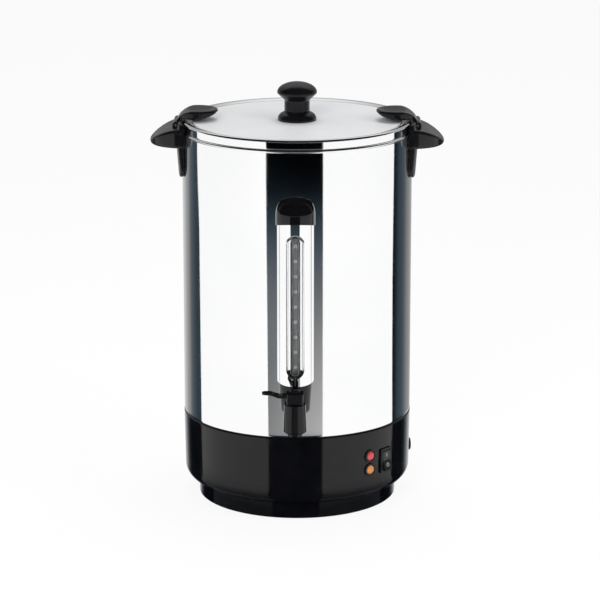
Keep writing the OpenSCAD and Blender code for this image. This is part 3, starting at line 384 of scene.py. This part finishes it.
MATERIALS = {
    "polished_steel": mirror_steel(),
    "plated_steel": plated_steel(),
    "gauge_glass": clear_glass(),
    "red_lens": lamp_lens("red_lens", (0.45, 0.035, 0.035), (0.60, 0.06, 0.06)),
    "amber_lens": lamp_lens("amber_lens", (0.52, 0.18, 0.03), (0.64, 0.25, 0.06)),
}
MATERIALS.update({slot: moulded(slot, *values) for slot, values in MOULDED.items()})
MATERIALS.update({slot: metal(slot, *values) for slot, values in METALS.items()})
SPUN_STEEL = spun_steel()
# A grey for the plate behind the sight glass and for the rocker's printed marks
PLATE_AND_MARK_GREY = moulded("plate_and_mark_grey", (0.25, 0.26, 0.265), (0.30, 0.31, 0.315), (0.3, 0.45), 700, 0.01 * MM)


def dress_frame():
    """Every carried-over CAD node takes the material of its slot."""
    for row in frame["record"]["subparts"]:
        piece = nodes[row["node"]]
        piece.data.materials.clear()
        piece.data.materials.append(MATERIALS[row["material_slot"]])


# Pieces

def make_tank():
    """The vessel's sheet: up its outside from the floor to the rolled bead, and back down inside."""
    edge, pan_r = 1.2 * MM, 3 * MM
    outer = arc((NECK_R - edge, FLOOR_Z + edge), edge, 270, 360, 4)
    step = arc((NECK_R + edge, BASE_TOP - edge), edge, 180, 90, 4)
    shoulder = arc((TANK_R - edge, BASE_TOP + edge), edge, 270, 360, 6)
    wall = [(TANK_R, z) for z in (BASE_TOP + 2 * edge, BEAD_Z - 3.4 * MM, BEAD_Z - 2.2 * MM)]
    bead_in = BEAD_R - BEAD_OUT
    bead_start = math.degrees(math.asin(bead_in / BEAD_R)) - 90
    bead = arc((TANK_R - bead_in, BEAD_Z), BEAD_R, bead_start, 180, 20)
    inner_r, neck_in = TANK_R - SHEET, NECK_R - SHEET
    inner = [(inner_r, BEAD_Z - 3 * MM), (inner_r, BASE_TOP + SHEET + edge)]
    inside = arc((inner_r - edge, BASE_TOP + SHEET + edge), edge, 0, -90, 4)
    pan = arc((neck_in - pan_r, FLOOR_Z + SHEET + pan_r), pan_r, 0, -90, 5)
    profile = [(0, FLOOR_Z)] + outer + step + shoulder + wall + bead + inner + inside
    profile += [(neck_in, BASE_TOP)] + pan + [(0, FLOOR_Z + SHEET)]
    tank = revolve("tank_shell", profile, FINE, closed=False)
    fit(tank, MATERIALS["polished_steel"], "polished_steel", "root", "tank")


def make_lid():
    """A satin panel set down inside a polished rolled edge, with the upright band and the skirt."""
    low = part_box("lid")[0].z
    roll_r, sheet, sink, slope_w = 2.8 * MM, 1 * MM, 2.2 * MM, 6 * MM
    hem_r, tip_h, slope_steps = 0.6 * MM, 0.5 * MM, 5
    roll = (LID_R - roll_r, LID_TOP - roll_r)
    panel_r, panel_z = roll[0] - roll_r - slope_w, LID_TOP - sink
    seam_r = panel_r - 0.6 * MM
    panel = [(0, panel_z), (seam_r - 2 * MM, panel_z), (seam_r, panel_z)]
    under = [(r, z - sheet) for r, z in reversed(panel)]
    top = revolve("lid_panel", panel + under, FINE, closed=False)
    soften(top, 60)
    fit(top, SPUN_STEEL, "polished_steel", "lid", "lid")
    rise = sink - 0.2 * MM
    slope = [(panel_r + slope_w * i / slope_steps, panel_z + rise * i / slope_steps)
             for i in range(slope_steps + 1)]
    edge = arc(roll, roll_r, 108, 0, 14)
    band_z = RIM_Z + 0.15 * MM
    band = [(LID_R, roll[1] - 1 * MM), (LID_R, band_z + 1.6 * MM)]
    hem = arc((LID_R - hem_r, band_z + hem_r), hem_r, 0, -90, 4)
    skirt_r = RIM_R - 4.8 * MM
    skirt_in = skirt_r - sheet
    skirt = [(skirt_r, band_z), (skirt_r, low + tip_h), (skirt_r - sheet / 2, low), (skirt_in, low + tip_h)]
    back = [(skirt_in, band_z + sheet), (LID_R - sheet, band_z + sheet), (LID_R - sheet, roll[1])]
    rim = [(seam_r, panel_z)] + slope + edge + band + hem + skirt + back + [(seam_r, panel_z - sheet)]
    fit(revolve("lid_rim", rim, FINE), MATERIALS["polished_steel"], "polished_steel", "lid")


def make_knob():
    """The mushroom knob: a flared foot, a straight neck and a domed cap."""
    low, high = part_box("lid_knob")
    foot_r, neck_r, cap_r = 23.6 * MM, 15.4 * MM, high.x
    edge, bend_r, ring_r, dome_h = 0.8 * MM, 2 * MM, 3 * MM, 12.5 * MM
    foot_z, wide_z = low.z, high.z - dome_h
    flare = foot_r - neck_r + 1 * MM
    profile = [(0, foot_z), (foot_r - edge, foot_z)] + arc((foot_r - edge, foot_z + edge), edge, -90, 0, 4)
    profile += arc((neck_r - 1 * MM, foot_z + 1.5 * MM), flare, 0, 76, 14, 8.5 * MM)
    profile += arc((neck_r + bend_r, foot_z + 12 * MM), bend_r, 215, 180, 5)
    profile += arc((neck_r + bend_r, wide_z - 10.5 * MM), bend_r, 180, 140, 5)
    profile += arc((cap_r - ring_r, wide_z), ring_r, -45, -4, 6)
    profile += arc((0, wide_z), cap_r, 2, 90, 28, dome_h)
    knob = revolve("knob", profile, ROUND, closed=False)
    fit(knob, MATERIALS["black_phenolic"], "black_phenolic", "lid", "lid_knob")


def cap_row(r, z, tilt=0.0):
    """A level of the cap: half round in front, closed along the tank's wall, rising by tilt to the front."""
    turns = [math.radians(-90 + 180 * i / 40) for i in range(41)]
    plan = [(r * math.sin(a), -TANK_R - r * math.cos(a)) for a in turns]
    plan += [(x, -math.sqrt(TANK_R ** 2 - x * x)) for x in (r * (1 - i / 6) for i in range(13))]
    return [(x, y, z + tilt * (-TANK_R - y)) for x, y in plan]


def make_cap():
    """The gauge column's cap: straight sides, full shoulders and a nearly flat top, seated on the tank."""
    low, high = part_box("gauge_top_cap")
    radius, top = high.x, high.z
    shoulder_w, shoulder_h, edge = 11 * MM, 18 * MM, 0.5 * MM
    foot, slope = low.z + 0.45 * MM, math.tan(math.radians(CAP_SLOPE))
    shoulder = arc((radius - shoulder_w, top - shoulder_h), shoulder_w, 0, 90, 14, shoulder_h)
    rows = [cap_row(radius - edge, foot, slope)]
    rows += [cap_row(radius, foot + edge, slope), cap_row(radius, foot + 2 * edge, slope)]
    rows += [cap_row(r, z) for r, z in shoulder]
    rows += [cap_row(7 * MM, top + 0.25 * MM), cap_row(1 * MM, top + 0.4 * MM)]
    cap = skin("gauge_cap", rows, angle=50)
    fit(cap, MATERIALS["gloss_black"], "gloss_black", "root", "gauge_top_cap")


def trim_point(a, middle, half_w, inset, depth):
    """A point of the slot's trim. Its shallow bevel runs straight down past the slot's rounded foot."""
    steep = min(inset, TRIM_STEEP)
    rest = inset - steep
    x, z = (half_w - steep) * math.cos(a), middle + (half_w - steep) * math.sin(a)
    if math.sin(a) >= 0:
        return x - rest * math.cos(a), depth, z - rest * math.sin(a)
    width = max(TRIM_LEAST * rest, min(rest, abs(x) - half_w + inset))
    narrowed = TRIM_LIFT * (1 - width / rest) if rest else 0
    return x - math.copysign(width, math.cos(a)), depth - narrowed, z


def make_slot_lip():
    """The polished trim round the guard's slot: a steep bevel, then a shallow one beside the tube."""
    guard_r = GUARD_HIGH.x
    half_w = SLOT_W / 2 - 0.05 * MM
    steps = 32
    rows = []
    for start, middle in ((180, SLOT_LOW + half_w), (0, SLOT_HIGH - half_w)):
        for i in range(steps + 1):
            a = math.radians(start + 180 * i / steps)
            y = -TANK_R - math.sqrt(guard_r ** 2 - (half_w * math.cos(a)) ** 2)
            ring = [trim_point(a, middle, half_w, inset * MM, depth * MM) for inset, depth in TRIM]
            rows.append([(x, y + depth, z) for x, depth, z in ring])
    lip = skin("gauge_slot_lip", rows, ends=False, angle=20)
    fit(lip, MATERIALS["polished_steel"], "polished_steel", "root")


def make_grey_plate():
    """A grey plate on the white strip behind the sight glass, its pale marks, and the guard's seam."""
    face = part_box("gauge_back_strip")[0].y
    plate = rounded_box(9 * MM, SLOT_HIGH - SLOT_LOW, 1.5 * MM, (0, (SLOT_LOW + SLOT_HIGH) / 2))
    scale = slab([plate], face + 0.2 * MM, face - 0.6 * MM, "gauge_grey_plate")
    fit(scale, PLATE_AND_MARK_GREY, "white_strip", "root")
    heights = [MARK_LOW + MARK_PITCH * i for i in range(MARK_COUNT)]
    squares = [rounded_box(5.6 * MM, 4 * MM, 0.6 * MM, (0, height)) for height in heights]
    marks = slab(squares, face - 0.5 * MM, face - 0.9 * MM, "gauge_marks")
    fit(marks, MATERIALS["white_strip"], "white_strip", "root")
    front, seam_low = GUARD_LOW.y, GUARD_LOW.z + 0.6 * MM
    strip = rounded_box(1.6 * MM, SLOT_LOW - seam_low, 0.6 * MM, (0, (SLOT_LOW + seam_low) / 2))
    seam = slab([strip], front + 0.8 * MM, front - 0.15 * MM, "gauge_seam")
    fit(seam, MATERIALS["black_rubber"], "black_rubber", "root")


def make_switch_marks():
    """A raised bar on the rocker's upper half and a ring on its lower half."""
    joint = next(row for row in frame["record"]["behaviour"]["joints"] if row["name"] == "switch_rock")
    hub = Matrix.Translation(joint["pos_m"]) @ Matrix.Rotation(math.radians(SWITCH_TURN), 4, "Z")
    tilt = math.radians(ROCKER_TILT)
    valley = hub @ Matrix.Rotation(-tilt, 4, "X") @ Matrix.Translation((0, -ROCKER_FACE, 0))
    upper = valley @ Matrix.Rotation(tilt, 4, "X")
    lower = valley @ Matrix.Rotation(-tilt, 4, "X")
    back, front, away = 0.2 * MM, -0.15 * MM, 6.2 * MM
    bar = slab([rounded_box(1.2 * MM, 5 * MM, 0.5 * MM, (0, away))], back, front, "switch_mark_on", upper)
    fit(bar, PLATE_AND_MARK_GREY, "white_strip", "switch_rocker")
    out_r, in_r, steps = 2.5 * MM, 1.5 * MM, 32
    rows = []
    for i in range(steps):
        a = 2 * math.pi * i / steps
        rows.append([lower @ Vector((r * math.cos(a), y, r * math.sin(a) - away))
                     for r, y in ((out_r, back), (out_r, front), (in_r, front), (in_r, back))])
    fit(skin("switch_mark_off", rows, ends=False), PLATE_AND_MARK_GREY, "white_strip", "switch_rocker")


def squared(value, power):
    """A sine or cosine drawn out by a power below 1, which gives a round section fuller corners."""
    return math.copysign(abs(value) ** power, value)


def make_catch_belly(side, way):
    """The full underside of a lid catch, over the sunken part of the lid."""
    steps = 40
    turns = [2 * math.pi * i / steps for i in range(steps)]
    rows = []
    for x, low, high, half_w in BELLY:
        middle, rise = (low + high) / 2, (high - low) / 2
        rows.append([(way * x * MM, squared(math.cos(a), 0.5) * half_w * MM,
                      (middle + squared(math.sin(a), 0.7) * rise) * MM) for a in turns])
    body = side + "_catch"
    fit(skin(body + "_belly", rows, angle=60), MATERIALS["black_phenolic"], "black_phenolic", body)


def make_handle_shoulder(side, way, end, toward):
    """The part of a handle that rises beside its catch, close round the lid, at the handle's one end."""
    inner, outer, low = SHOULDER_IN, SHOULDER_OUT, SHOULDER_LOW
    rows = []
    for aside, top in SHOULDER_TOPS:
        bearing = math.asin(aside / inner)
        section = [(inner, low), (outer, low), (outer - 0.5, low + 5), (outer - 2, top - 2),
                   (outer - 3.5, top - 0.5), (inner + 1.7, top), (inner + 0.5, top - 0.5), (inner, top - 1.6)]
        rows.append([(way * r * MM * math.cos(bearing), toward * r * MM * math.sin(bearing), z * MM)
                     for r, z in section])
    shoulder = skin(f"{side}_handle_shoulder_{end}", rows, angle=50)
    fit(shoulder, MATERIALS["black_phenolic"], "black_phenolic", "root")


def round_off(name, grid, passes):
    """Rounds the edges of a moulded CAD node, in steps of a grid given in metres."""
    piece = nodes[name]
    weld = piece.modifiers.new("weld", "WELD")
    weld.merge_threshold = 1e-6
    fine = piece.modifiers.new("fine", "REMESH")
    fine.mode = "VOXEL"
    fine.voxel_size = grid
    fine.use_smooth_shade = True
    smooth = piece.modifiers.new("smooth", "SMOOTH")
    smooth.factor = 0.5
    smooth.iterations = passes


# Stage, light and camera

# The studio's levels: the background, the light on matt surfaces, and in gloss the dark room
SHOWN_WHITE, MATT_LIGHT, DARK_ROOM = 1.0, 0.5, 0.012

# The ceiling that gloss mirrors, from where it sets in to where it is full: direction to the back, direction
# upwards, and level
CEILING_BACK, CEILING_UP, CEILING_LEVEL = (0.2, 0.45), (0.45, 0.75), (0.36, 0.85)

# The floor: half its width in metres, its grey, and how much of it glows white to rays that show it
FLOOR_HALF, FLOOR_GREY, FLOOR_GLOW = 7, 0.91, 0.9

# Each painted reflection sheet's start bearing in stops by height, and its end bearing, all in degrees
FRONT_SPAN = ([(0.11, -13.5), (0.3, -14.0), (0.4, -14.3)], 13.4)
LEFT_SPAN = ([(0.11, -55.6), (0.25, -55.95), (0.36, -56.2), (0.43, -57.6)], -89)
RIGHT_SPAN = ([(0.11, 56.75), (0.2, 56.2), (0.3, 55.9), (0.43, 56.4)], 88)

# Painted reflection greys: the front sheet's grey below the tank, its grey in stops by height, and how much
# paler it gets to the right per degree, by height; then the side sheets' greys in stops by bearing, on the
# tank and on the base
CENTRE_BASE = 0.02
CENTRE_STRIPE = [(0.11, 0.34), (0.153, 0.285), (0.19, 0.245), (0.276, 0.155), (0.363, 0.053), (0.4, 0.008),
                 (0.43, 0.001)]
CENTRE_LEAN = [(0.2, 0.022), (0.3, 0)]
LEFT_STRIPE = [(58.7, 0.045), (61, 0.057), (63.4, 0.083), (65.8, 0.113), (68.4, 0.23), (72.5, 0.34),
               (76.2, 0.5), (82, 0.65), (90, 0.75)]
RIGHT_STRIPE = [(57.7, 0.009), (59.7, 0.027), (61.9, 0.05), (64.2, 0.06), (66.7, 0.075), (69.3, 0.113),
                (72.7, 0.2), (76.5, 0.25), (82, 0.38), (90, 0.43)]
BASE_STRIPE = [(67, 0.012), (70.5, 0.06), (73.5, 0.3), (77, 0.7), (82, 0.9)]

# The painted shadow round the base by its radius, and how far a painted reflection's grey turns blue by its
# level
RING_SHADE = [(0.15, 0.14), (0.19, 0.45), (0.27, 1.0)]
BLUE_SHIFT = [(0.045, 0.33), (0.07, 0.22), (0.1, 0.15), (0.16, 0.06), (0.25, 0)]

# Heights over the floor of the sheets of painted reflection and of painted shadow
REFLECTION_SHEET_Z, SHADE_Z = 1.5 * MM, 0.7 * MM

# Rows of the painted reflection sheets: the wall's heights that they are mirrored from, above those on the
# base
WALL_LOW, WALL_STEP, WALL_ROWS = 0.14, 0.03, 18

# Lamps: place, size in metres and power in watts, and the point that they are aimed at
LAMPS = {
    "key": ((-0.7, -2.7, 1.7), (1.0, 1.0), 48),
    "fill": ((1.9, -1.2, 1.7), (1.0, 1.4), 18),
    "top": ((0.1, 0.5, 2.4), (1.4, 1.0), 22),
}
LAMP_AIM = Vector((0, 0, 0.25))


def calculate(tree, operation, *values):
    """The result of a maths node; each value is a number or another node's socket."""
    node = tree.nodes.new("ShaderNodeMath")
    node.operation = operation
    for value, socket in zip(values, node.inputs):
        if isinstance(value, (int, float)):
            socket.default_value = value
        else:
            tree.links.new(value, socket)
    return node.outputs["Value"]


def any_ray(tree, *kinds):
    """1 for a ray of any of the kinds, else 0."""
    path = tree.nodes.new("ShaderNodeLightPath")
    total = path.outputs[kinds[0]]
    for kind in kinds[1:]:
        total = calculate(tree, "MAXIMUM", total, path.outputs[kind])
    return total


def background(tree, strength):
    """A white background of a strength."""
    white = tree.nodes.new("ShaderNodeBackground")
    white.inputs["Color"].default_value = (1, 1, 1, 1)
    white.inputs["Strength"].default_value = strength
    return white.outputs["Background"]


def mix_shader(tree, share, first, second):
    """The first shader, giving way to the second by a share from 0 to 1."""
    mix = tree.nodes.new("ShaderNodeMixShader")
    tree.links.new(share, mix.inputs["Fac"])
    tree.links.new(first, mix.inputs[1])
    tree.links.new(second, mix.inputs[2])
    return mix.outputs["Shader"]


def make_world():
    """White behind the object; in gloss, a dark studio with a bright ceiling at the back."""
    world = bpy.data.worlds.new("studio")
    bpy.context.scene.world = world
    world.use_nodes = True
    tree = world.node_tree
    tree.nodes.clear()
    place = tree.nodes.new("ShaderNodeTexCoord")
    axes = tree.nodes.new("ShaderNodeSeparateXYZ")
    tree.links.new(place.outputs["Generated"], axes.inputs["Vector"])
    behind = ramp_value(tree, axes.outputs["Y"], *CEILING_BACK, 0, 1)
    above = ramp_value(tree, axes.outputs["Z"], *CEILING_UP, *CEILING_LEVEL)
    mirrored = tree.nodes.new("ShaderNodeBackground")
    tree.links.new(calculate(tree, "MULTIPLY_ADD", behind, above, DARK_ROOM), mirrored.inputs["Color"])
    matt = background(tree, MATT_LIGHT)
    unseen = mix_shader(tree, any_ray(tree, "Is Glossy Ray"), matt, mirrored.outputs["Background"])
    seen = any_ray(tree, "Is Camera Ray", "Is Transmission Ray")
    whole = mix_shader(tree, seen, unseen, background(tree, SHOWN_WHITE))
    out = tree.nodes.new("ShaderNodeOutputWorld")
    tree.links.new(whole, out.inputs["Surface"])


def make_floor():
    """A pale floor that glows white to rays that show it, so that it runs into the background."""
    corners = [(-1, -1), (1, -1), (1, 1), (-1, 1)]
    floor = new_object("floor", [(x * FLOOR_HALF, y * FLOOR_HALF, 0) for x, y in corners], [(0, 1, 2, 3)])
    material, tree, principled = shader("pale_floor", (FLOOR_GREY, FLOOR_GREY, FLOOR_GREY), 0.8)
    glow = tree.nodes.new("ShaderNodeEmission")
    glow.inputs["Color"].default_value = (1, 1, 1, 1)
    seen = any_ray(tree, "Is Camera Ray", "Is Glossy Ray", "Is Transmission Ray")
    share = calculate(tree, "MULTIPLY", seen, FLOOR_GLOW)
    whole = mix_shader(tree, share, principled.outputs["BSDF"], glow.outputs["Emission"])
    tree.links.new(whole, tree.nodes["Material Output"].inputs["Surface"])
    floor.data.materials.append(material)


def painted_reflection_material():
    """Painted reflection and painted shadow: a glowing material whose tone is painted on its corners."""
    material, tree, _ = shader("painted_reflection_sheet", (0, 0, 0), 1)
    painted = tree.nodes.new("ShaderNodeAttribute")
    painted.attribute_name = "tone"
    glow = tree.nodes.new("ShaderNodeEmission")
    tree.links.new(painted.outputs["Color"], glow.inputs["Color"])
    tree.links.new(glow.outputs["Emission"], tree.nodes["Material Output"].inputs["Surface"])
    return material


def mirrored_spot(bearing, height):
    """The place on the floor that the wall mirrors to the camera from a bearing and a height."""
    a = math.radians(bearing)
    facing = Vector((math.sin(a), -math.cos(a), 0))
    radius = TANK_R if height > PLINTH_TOP else PLINTH_R
    spot = facing * radius + Vector((0, 0, height))
    ray = (spot - EYE).normalized()
    ray -= 2 * ray.dot(facing) * facing
    return spot + ray * (spot.z / -ray.z)


def along(stops, value):
    """The level at a value, between stops (value, level) in rising order."""
    for (a, low), (b, high) in zip(stops, stops[1:]):
        if value <= b:
            return low + (high - low) * max(0, value - a) / (b - a)
    return stops[-1][1]


def centre_grey(bearing, height):
    """Painted reflection: dark where the base mirrors it, pale low on the tank, paler to the right, black at
    its top.
    """
    if height < BASE_TOP:
        return CENTRE_BASE
    return along(CENTRE_STRIPE, height) * (1 + bearing * along(CENTRE_LEAN, height))


def side_grey(bearing, height):
    """Painted reflection: dark at the inner edge of a side stripe, paler towards the tank's outline."""
    if height < BASE_TOP:
        return along(BASE_STRIPE, abs(bearing))
    return along(LEFT_STRIPE if bearing < 0 else RIGHT_STRIPE, abs(bearing))


def cool(level):
    """A painted reflection's grey as a colour, bluer where it is darker."""
    shift = along(BLUE_SHIFT, level)
    return (level * (1 - shift), level, level * (1 + shift), 1)


def painted_sheet_mesh(name, rows, greys, height, material):
    """A glowing painted sheet lying on the stage at a height, over rows of places; seen only in gloss, as
    painted reflection.
    """
    wide = len(rows[0])
    verts = [(*place, height) for row in rows for place in row]
    faces = [(r * wide + c, r * wide + c + 1, (r + 1) * wide + c + 1, (r + 1) * wide + c)
             for r in range(len(rows) - 1) for c in range(wide - 1)]
    mesh = bpy.data.meshes.new(name)
    mesh.from_pydata(verts, [], faces)
    painted = mesh.attributes.new("tone", "FLOAT_COLOR", "POINT")
    painted.data.foreach_set("color", [part for level in greys for part in cool(level)])
    mesh.materials.append(material)
    reflection_paint = bpy.data.objects.new(name, mesh)
    bpy.context.scene.collection.objects.link(reflection_paint)
    reflection_paint.visible_camera = False
    reflection_paint.visible_diffuse = False
    reflection_paint.visible_shadow = False
    reflection_paint.visible_transmission = False


def make_painted_reflection(name, starts, end, grey, material):
    """A painted reflection: a glowing sheet on the floor that the tank mirrors as a stripe from its start to
    its end bearing.
    """
    edge, steps = 0.5 * MM, 24
    heights = [1 * MM, PLINTH_TOP, 40 * MM, BASE_TOP - edge, BASE_TOP + edge]
    heights += [WALL_LOW + WALL_STEP * i for i in range(WALL_ROWS)]
    grid = []
    for height in heights:
        start = along(starts, height)
        grid.append([start + (end - start) * i / steps for i in range(steps + 1)])
    rows = [[mirrored_spot(a, h).xy for a in bearings] for bearings, h in zip(grid, heights)]
    greys = [grey(a, h) for bearings, h in zip(grid, heights) for a in bearings]
    painted_sheet_mesh(name, rows, greys, REFLECTION_SHEET_Z, material)


def make_shade(material):
    """A painted shadow: the dark ring on the floor close round the base, as the base's gloss mirrors it."""
    steps, inner_r, ring_w, rings = 96, 0.1, 0.01, 18
    radii = [inner_r + ring_w * i for i in range(rings)]
    turns = [2 * math.pi * i / steps for i in range(steps + 1)]
    rows = [[(r * math.cos(a), r * math.sin(a)) for a in turns] for r in radii]
    greys = [along(RING_SHADE, r) for r in radii for a in turns]
    painted_sheet_mesh("shade_ring", rows, greys, SHADE_Z, material)


def make_light(name, place, size, power):
    """A soft rectangular lamp aimed at the middle of the tank."""
    data = bpy.data.lights.new(name, "AREA")
    data.shape = "RECTANGLE"
    data.size, data.size_y = size
    data.energy = power
    lamp = bpy.data.objects.new(name, data)
    bpy.context.scene.collection.objects.link(lamp)
    lamp.location = place
    lamp.visible_glossy = False
    lamp.rotation_euler = (LAMP_AIM - lamp.location).to_track_quat("-Z", "Y").to_euler()


def make_camera():
    """The camera at the place that the photo was taken from."""
    data = bpy.data.cameras.new("camera")
    data.sensor_width = SENSOR_W
    data.lens = LENS
    camera = bpy.data.objects.new("camera", data)
    bpy.context.scene.collection.objects.link(camera)
    camera.location = EYE
    camera.rotation_euler = (math.radians(90 - EYE_PITCH), 0, math.radians(EYE_BEARING - EYE_ASIDE))
    bpy.context.scene.camera = camera


def make_stage():
    """World, floor, sheets of painted reflection and painted shadow, lamps and camera."""
    make_world()
    make_floor()
    # Sheets seen only in gloss: a painted shadow round the base, and painted reflections that the tank shows
    # as stripes
    reflection_paint = painted_reflection_material()
    make_shade(reflection_paint)
    make_painted_reflection("front_painted_reflection", *FRONT_SPAN, centre_grey, reflection_paint)
    make_painted_reflection("left_painted_reflection", *LEFT_SPAN, side_grey, reflection_paint)
    make_painted_reflection("right_painted_reflection", *RIGHT_SPAN, side_grey, reflection_paint)
    for name, (place, size, power) in LAMPS.items():
        make_light(name, place, size, power)
    make_camera()


dress_frame()
make_tank()
make_lid()
make_knob()
make_cap()
make_slot_lip()
make_grey_plate()
make_switch_marks()
for side, way in (("left", -1), ("right", 1)):
    round_off(side + "_handle", HANDLE_GRID, SMOOTH_PASSES)
    round_off(side + "_catch", CATCH_GRID, SMOOTH_PASSES)
    make_catch_belly(side, way)
    make_handle_shoulder(side, way, "front", -1)
    make_handle_shoulder(side, way, "back", 1)
make_stage()

bpy.context.scene.view_settings.view_transform = "Standard"
